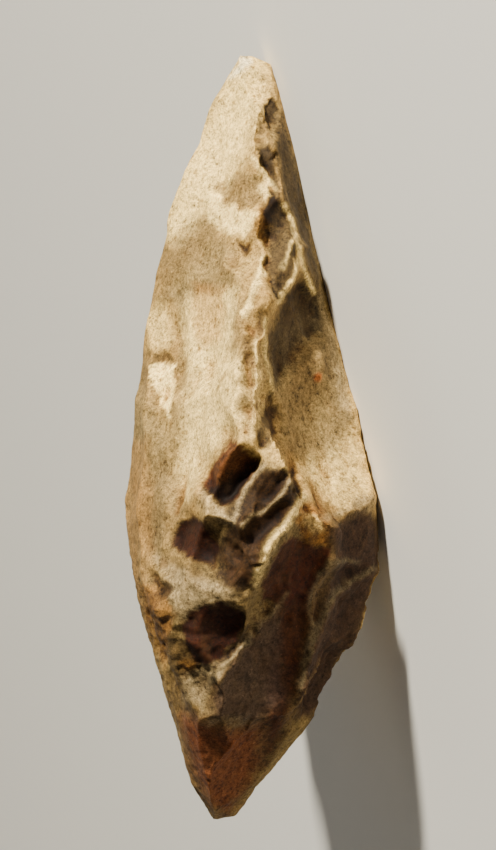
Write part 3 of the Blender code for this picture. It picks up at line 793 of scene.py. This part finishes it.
def stone_colours(points):
    """The colour of every point: its stains, with the shade and highlights painted on the near side.

    Noise mixes the tones all round and height adds the brown of the butt. Then come the near side's patches,
    its iron speck and its lines, each by its own share.
    """
    along = points[..., 2] / UNIT[2]
    drift = waves(points, 0.16, 51)
    colour = mixed(linear(TAN) + np.zeros(points.shape), linear(GREY), smooth(drift * 0.7) * 0.7)
    colour = mixed(colour, linear(CREAM), smooth(waves(points, 0.12, 52) * 0.8 - 0.1) * 0.6)
    colour = mixed(colour, linear(OCHRE), smooth(waves(points, 0.05, 53) * 0.8 - 0.35) * 0.35)
    butt = smooth((24 - along + 5 * waves(points, 0.1, 54)) / 14)
    colour = mixed(colour, linear(UMBER), butt * 0.8)
    colour = mixed(colour, linear(RUST), butt * smooth(waves(points, 0.09, 55)) * 0.5)
    plain = mixed(linear(TAN) + np.zeros(points.shape), linear(CREAM), smooth(0.5 + drift * 0.5) * 0.25)
    seen = seen_share(points)
    colour = mixed(colour, plain, seen * 0.8)
    u, v = stirred_frame(points, 1.1)
    for ink, strength, soft, outline in PATCHES:
        colour = mixed(colour, linear(ink), patch(u, v, outline, soft) * strength * seen)
    u, v = stirred_frame(points, 0.5)
    across, down, radius = IRON_SPECK
    colour = mixed(colour, linear(IRON), smooth(1.6 - np.hypot(u - across, v - down) / radius) * 0.75 * seen)
    for ink, strength, width, line in LINES:
        distance, _ = line_distance(u, v, line)
        colour = mixed(colour, linear(ink), np.exp(-((distance / width) ** 2)) * strength * seen)
    return colour


def coarse_share(points):
    """Where the grain is coarse and sugary: a share that grows towards the butt, or an outline's if more."""
    u, v = stirred_frame(points, 2.5)
    along = points[..., 2] / UNIT[2]
    share = smooth((40 - along) / 12) * (0.2 + 0.35 * smooth((along - 12) / 10))
    for outline in COARSE_OUTLINES:
        share = np.maximum(share, patch(u, v, outline, 8))
    return share


# Where the standing stone's foot comes once the solid lies on its bed with its box's middle at the origin.
LAID_OFFSET = np.array([-0.0421988, 0.0019334, 0.0187942])


def laid(points):
    """Brings points of the unit stone to real size and turns them onto the bed.

    The rows of the turn are the tip's way along the floor, the way across, and up, against the bed's normal.
    """
    up = -BED_NORMAL / SIZES
    up /= np.linalg.norm(up)
    tipward = np.array([up[2], 0, -up[0]])
    tipward /= np.linalg.norm(tipward)
    turn = np.array([tipward, np.cross(up, tipward), up])
    return (points * SIZES) @ turn.T + LAID_OFFSET, turn


def stone_mesh(name, points):
    """A closed mesh of the grid: quads between rows, and a fan of triangles at the butt and at the tip."""
    rows, columns = points.shape[:2]
    index = np.arange(rows * columns).reshape(rows, columns)
    right = np.roll(index, -1, axis=1)
    quads = np.stack([index[:-1], right[:-1], right[1:], index[1:]], axis=-1).reshape(-1, 4)
    foot, top = rows * columns, rows * columns + 1
    ends = [np.stack([right[0], index[0], np.full(columns, foot)], axis=-1),
            np.stack([index[-1], right[-1], np.full(columns, top)], axis=-1)]
    places = np.concatenate([points.reshape(-1, 3), points[:1].mean(1), points[-1:].mean(1)])
    mesh = bpy.data.meshes.new(name)
    mesh.from_pydata(places.tolist(), [], quads.tolist() + ends[0].tolist() + ends[1].tolist())
    mesh.polygons.foreach_set("use_smooth", np.ones(len(mesh.polygons), bool))
    mesh.update()
    return mesh


def add_values(mesh, name, values):
    """A named value for every point of the grid, the two poles taking the mean of the row beside them."""
    flat = np.concatenate([values.ravel(), [values[0].mean(), values[-1].mean()]]).astype(np.float32)
    mesh.attributes.new(name, "FLOAT", "POINT").data.foreach_set("value", flat)


def add_colours(mesh, name, colours):
    """A named colour for every point of the grid, the two poles taking the mean of the row beside them."""
    flat = np.concatenate([colours.reshape(-1, 3), colours[:1].mean(1), colours[-1:].mean(1)])
    flat = np.concatenate([flat, np.ones((len(flat), 1))], axis=1).astype(np.float32)
    mesh.color_attributes.new(name, "FLOAT_COLOR", "POINT").data.foreach_set("color", flat.ravel())


shape = stone.points()
crest = relief(shape, 6) * STONE_MM
broad_crest = relief(shape, 60) * STONE_MM
coarse = coarse_share(shape)
colours = stone_colours(shape)
# Swells and two sizes of pits, in millimetres, deeper where the grain is coarse and on the near side.
near = smooth(0.6 - stone.ways[..., 1] / 0.5)
pits = 0.018 + 0.14 * coarse * (0.4 + 0.6 * near)
bumps = waves(shape, 0.05, 61) * 0.05 - np.abs(waves(shape, 0.024, 62)) * pits
bumps -= np.abs(waves(shape, 0.014, 63)) * (0.012 + 0.09 * coarse) * near
shape = shape + outward(soften(shape, 3)) * (bumps / STONE_MM)[..., None]
places, turn = laid(shape)
places[..., 2] = np.maximum(places[..., 2], 0)  # nothing below the floor, so the bed is flat
piece = bpy.data.objects.new("flaked_stone", stone_mesh("flaked_stone", places))
bpy.context.scene.collection.objects.link(piece)
add_colours(piece.data, "stain_and_painted_light", colours)
add_values(piece.data, "crest", np.clip(crest / 0.22, -1, 1))
add_values(piece.data, "broad_crest", np.clip(broad_crest / 0.9, -1, 1))
add_values(piece.data, "coarse", coarse)
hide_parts("hand_axe")
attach(piece, "root")


def new_group(name, inputs, outputs):
    """An empty node group with these named inputs and outputs, and its two end nodes."""
    group = bpy.data.node_groups.new(name, "ShaderNodeTree")
    for label, kind, default in inputs:
        socket = group.interface.new_socket(label, in_out="INPUT", socket_type=kind)
        socket.default_value = default
    for label, kind in outputs:
        group.interface.new_socket(label, in_out="OUTPUT", socket_type=kind)
    return group, group.nodes.new("NodeGroupInput"), group.nodes.new("NodeGroupOutput")


def add_node(tree, kind, settings=None, into=None):
    """A node with its inputs set by name or number, each a constant or joined to another node's output."""
    node = tree.nodes.new(kind)
    for name, value in (settings or {}).items():
        setattr(node, name, value)
    for name, value in (into or {}).items():
        socket = node.inputs[name]
        if isinstance(value, bpy.types.NodeSocket):
            tree.links.new(value, socket)
        else:
            socket.default_value = value
    return node


def math_node(tree, operation, first, second):
    """The result of one sum, product or other operation on two values."""
    node = add_node(tree, "ShaderNodeMath", settings={"operation": operation}, into={0: first, 1: second})
    return node.outputs[0]


def mix_colours(tree, share, first, second, blend="MIX"):
    """The first colour times 1 - share, plus share times the second or, to multiply, their product."""
    node = add_node(tree, "ShaderNodeMix", settings={"data_type": "RGBA", "blend_type": blend},
                    into={0: share, 6: first, 7: second})
    return node.outputs[2]


def grain_group():
    """Fine grain: three sizes of noise added up, as a brightness round 1 and as a height."""
    group, start, end = new_group("stone_grain", (
        ("Place", "NodeSocketVector", (0, 0, 0)), ("Scale", "NodeSocketFloat", 900.0),
        ("Contrast", "NodeSocketFloat", 0.3)), (
            ("Brightness", "NodeSocketFloat"), ("Height", "NodeSocketFloat")))
    total = None
    for size, share in ((1.0, 0.25), (2.7, 0.35), (6.5, 0.4)):
        scale = math_node(group, "MULTIPLY", start.outputs["Scale"], size)
        noise = add_node(group, "ShaderNodeTexNoise", into={
            "Vector": start.outputs["Place"], "Scale": scale, "Detail": 3.0, "Roughness": 0.6})
        part = math_node(group, "MULTIPLY", noise.outputs[0], share)
        total = part if total is None else math_node(group, "ADD", total, part)
    centred = math_node(group, "SUBTRACT", total, 0.5)
    swing = math_node(group, "MULTIPLY", centred, start.outputs["Contrast"])
    group.links.new(math_node(group, "ADD", swing, 1.0), end.inputs["Brightness"])
    group.links.new(total, end.inputs["Height"])
    return group


def specks_group():
    """Specks: 1 in the middle of the cells whose random number is under the share asked for, 0 elsewhere."""
    group, start, end = new_group("stone_specks", (
        ("Place", "NodeSocketVector", (0, 0, 0)), ("Scale", "NodeSocketFloat", 900.0),
        ("Share", "NodeSocketFloat", 0.1), ("Size", "NodeSocketFloat", 0.3)), (("Mask", "NodeSocketFloat"),))
    cells = add_node(group, "ShaderNodeTexVoronoi", into={
        "Vector": start.outputs["Place"], "Scale": start.outputs["Scale"], "Randomness": 1.0})
    number = add_node(group, "ShaderNodeSeparateColor", into={0: cells.outputs["Color"]}).outputs[0]
    chosen = math_node(group, "LESS_THAN", number, start.outputs["Share"])
    dot = add_node(group, "ShaderNodeMapRange", into={
        "Value": cells.outputs["Distance"], "From Min": 0.0, "From Max": start.outputs["Size"],
        "To Min": 1.0, "To Max": 0.0})
    group.links.new(math_node(group, "MULTIPLY", chosen, dot.outputs[0]), end.inputs["Mask"])
    return group


def wear_group():
    """Worn crests and sunken hollows: the shares of the crest value above and below its even middle."""
    group, start, end = new_group("stone_wear", (
        ("Crest", "NodeSocketFloat", 0.0), ("Grain", "NodeSocketFloat", 0.5)), (
        ("Worn", "NodeSocketFloat"), ("Sunken", "NodeSocketFloat")))
    uneven = math_node(group, "MULTIPLY", math_node(group, "SUBTRACT", start.outputs["Grain"], 0.5), 0.9)
    ragged = math_node(group, "ADD", start.outputs["Crest"], uneven)
    worn = add_node(group, "ShaderNodeMapRange", into={"Value": ragged, "From Min": 0.2, "From Max": 1.0})
    sunken = add_node(group, "ShaderNodeMapRange", into={"Value": ragged, "From Min": -0.2, "From Max": -1.0})
    group.links.new(worn.outputs[0], end.inputs["Worn"])
    group.links.new(sunken.outputs[0], end.inputs["Sunken"])
    return group


def weathered_stone():
    """The stone's material: colour with painted shade, grain, streaks, specks, pale crests, brown hollows and
    painted glints.
    """
    skin = bpy.data.materials.new("weathered_stone")
    skin.use_nodes = True
    tree = skin.node_tree
    shader = tree.nodes["Principled BSDF"]
    place = add_node(tree, "ShaderNodeTexCoord").outputs["Object"]
    values = {name: add_node(tree, "ShaderNodeAttribute", settings={"attribute_name": name})
              for name in ("stain_and_painted_light", "crest", "broad_crest", "coarse")}
    coarse = values["coarse"].outputs["Fac"]

    grain = add_node(tree, "ShaderNodeGroup", settings={"node_tree": grain_group()},
                     into={"Place": place, "Scale": 900.0, "Contrast": 6.0})
    colour = values["stain_and_painted_light"].outputs["Color"]
    colour = mix_colours(tree, 1.0, colour, grain.outputs["Brightness"], "MULTIPLY")

    stretched = add_node(tree, "ShaderNodeMapping", into={"Vector": place, "Scale": (0.12, 1.0, 1.0)})
    streaks = add_node(tree, "ShaderNodeTexNoise", into={
        "Vector": stretched.outputs[0], "Scale": 600.0, "Detail": 4.0, "Roughness": 0.65})
    streak = add_node(tree, "ShaderNodeMapRange", into={
        "Value": streaks.outputs[0], "From Min": 0.50, "From Max": 0.70, "To Min": 0.0, "To Max": 0.10})
    colour = mix_colours(tree, streak.outputs[0], colour, (*linear(STREAK_TAN), 1))

    specks = specks_group()
    wear = add_node(tree, "ShaderNodeGroup", settings={"node_tree": wear_group()},
                    into={"Crest": values["crest"].outputs["Fac"], "Grain": grain.outputs["Height"]})
    broad = add_node(tree, "ShaderNodeGroup", settings={"node_tree": wear.node_tree},
                     into={"Crest": values["broad_crest"].outputs["Fac"], "Grain": grain.outputs["Height"]})
    # darker and browner in the hollows, the broad ones less so
    colour = mix_colours(tree, wear.outputs["Sunken"], colour, (0.50, 0.40, 0.31, 1), "MULTIPLY")
    colour = mix_colours(tree, broad.outputs["Sunken"], colour, (0.72, 0.62, 0.52, 1), "MULTIPLY")
    colour = mix_colours(tree, wear.outputs["Worn"], colour, (1.28, 1.26, 1.22, 1), "MULTIPLY")
    # dark specks, finer dark ones, and pale ones: (scale, share of the cells, what the colour is times)
    for scale, share, times in ((1500.0, 0.12, (0.48, 0.42, 0.34)), (2600.0, 0.2, (0.45, 0.4, 0.36)),
                                (2100.0, 0.2, (1.3, 1.32, 1.35))):
        dots = add_node(tree, "ShaderNodeGroup", settings={"node_tree": specks},
                        into={"Place": place, "Scale": scale, "Share": share, "Size": 0.6})
        colour = mix_colours(tree, dots.outputs[0], colour, (*times, 1), "MULTIPLY")
    blots = add_node(tree, "ShaderNodeTexNoise", into={
        "Vector": place, "Scale": 420.0, "Detail": 5.0, "Roughness": 0.7, "Distortion": 0.6})
    blot = add_node(tree, "ShaderNodeMapRange", into={
        "Value": blots.outputs[0], "From Min": 0.5, "From Max": 0.66, "To Min": 0.0, "To Max": 0.75})
    blotted = math_node(tree, "MULTIPLY", blot.outputs[0], coarse)
    colour = mix_colours(tree, blotted, colour, (*linear(BLOT_BROWN), 1))
    # glints: dots whose colour is made nearly twice as bright, a painted highlight, and made less rough so
    # they also shine
    glints = math_node(tree, "ADD", math_node(tree, "MULTIPLY", coarse, 0.06), 0.012)
    glint = add_node(tree, "ShaderNodeGroup", settings={"node_tree": specks},
                     into={"Place": place, "Scale": 3800.0, "Size": 0.5, "Share": glints})
    colour = mix_colours(tree, glint.outputs[0], colour, (1.9, 1.9, 2.0, 1), "MULTIPLY")
    tree.links.new(colour, shader.inputs["Base Color"])
    shader.inputs["Specular IOR Level"].default_value = 0.22

    rough = math_node(tree, "SUBTRACT", 0.78, math_node(tree, "MULTIPLY", glint.outputs[0], 0.45))
    tree.links.new(rough, shader.inputs["Roughness"])
    strength = math_node(tree, "ADD", math_node(tree, "MULTIPLY", coarse, 0.35), 0.3)
    bump = add_node(tree, "ShaderNodeBump", into={
        "Height": grain.outputs["Height"], "Distance": 0.0003, "Strength": strength})
    tree.links.new(bump.outputs[0], shader.inputs["Normal"])
    return skin


piece.data.materials.append(weathered_stone())


# ---------------------------------------------------------------------------------------------------------
# The floor. It is one pale sheet of stiff, matt paper that the stone lies on, laid flat and swept up behind
# it in one even curve, so that no line shows where the floor ends.

def floor_sheet():
    """A sheet flat to 0.5 m behind the stone, then a quarter circle of 0.4 m radius, then upright."""
    sweep = np.linspace(0, pi / 2, 25)
    depth = np.concatenate([[-1.2], 0.5 + 0.4 * np.sin(sweep), [0.9]])
    height = np.concatenate([[0.0], 0.4 - 0.4 * np.cos(sweep), [1.6]])
    side = np.linspace(-1.6, 1.6, 2)
    grid = np.stack([np.repeat(side, len(depth)), np.tile(depth, 2), np.tile(height, 2)], axis=-1)
    count = len(depth)
    faces = [(k, count + k, count + k + 1, k + 1) for k in range(count - 1)]
    mesh = bpy.data.meshes.new("floor")
    mesh.from_pydata(grid.tolist(), [], faces)
    mesh.polygons.foreach_set("use_smooth", np.ones(len(mesh.polygons), bool))
    return mesh


floor = bpy.data.objects.new("floor", floor_sheet())
bpy.context.scene.collection.objects.link(floor)
paper = bpy.data.materials.new("pale_paper")
paper.use_nodes = True
paper_shader = paper.node_tree.nodes["Principled BSDF"]
paper_shader.inputs["Base Color"].default_value = (0.8, 0.79, 0.77, 1)
paper_shader.inputs["Roughness"].default_value = 0.9
floor.data.materials.append(paper)


# ---------------------------------------------------------------------------------------------------------
# Light and camera. A soft key lamp from beyond the tip, a broad weak fill, a pale even room, and a camera
# that looks at the near edge from low over the floor, with the tip at the top of the frame.

STONE_MIDDLE = Vector((0, 0, 0.01))


def soft_light(name, place, power, size, colour):
    """A round lamp at this place, aimed at the stone's middle: its -Z runs from its place to that point."""
    lamp = bpy.data.lights.new(name, "AREA")
    lamp.energy = power
    lamp.shape = "DISK"
    lamp.size = size
    lamp.color = colour
    obj = bpy.data.objects.new(name, lamp)
    bpy.context.scene.collection.objects.link(obj)
    obj.location = place
    obj.rotation_euler = (STONE_MIDDLE - Vector(place)).to_track_quat("-Z", "Y").to_euler()


soft_light("key", place=(0.75, -0.55, 0.37), power=31, size=0.09, colour=(1.0, 0.93, 0.76))
soft_light("fill", place=(-0.3, -1.0, 0.5), power=0.4, size=0.8, colour=(1.0, 0.95, 0.9))

world = bpy.data.worlds.new("studio")
world.use_nodes = True
room = world.node_tree.nodes["Background"]
room.inputs["Color"].default_value = (0.95, 0.96, 1.0, 1)
room.inputs["Strength"].default_value = 0.06
bpy.context.scene.world = world

camera_data = bpy.data.cameras.new("camera")
camera_data.sensor_width = 36
camera_data.lens = 190.6
camera_data.clip_start = 0.01
camera = bpy.data.objects.new("camera", camera_data)
bpy.context.scene.collection.objects.link(camera)
# The camera turns with the stone: its right is the stone's +X, its up +Z, and it looks along +Y.
eye = turn @ (EYE / 1000) + LAID_OFFSET
axes = Matrix((turn[:, 0], turn[:, 2], -turn[:, 1])).transposed()
camera.matrix_world = Matrix.Translation(eye) @ axes.to_4x4()
bpy.context.scene.camera = camera
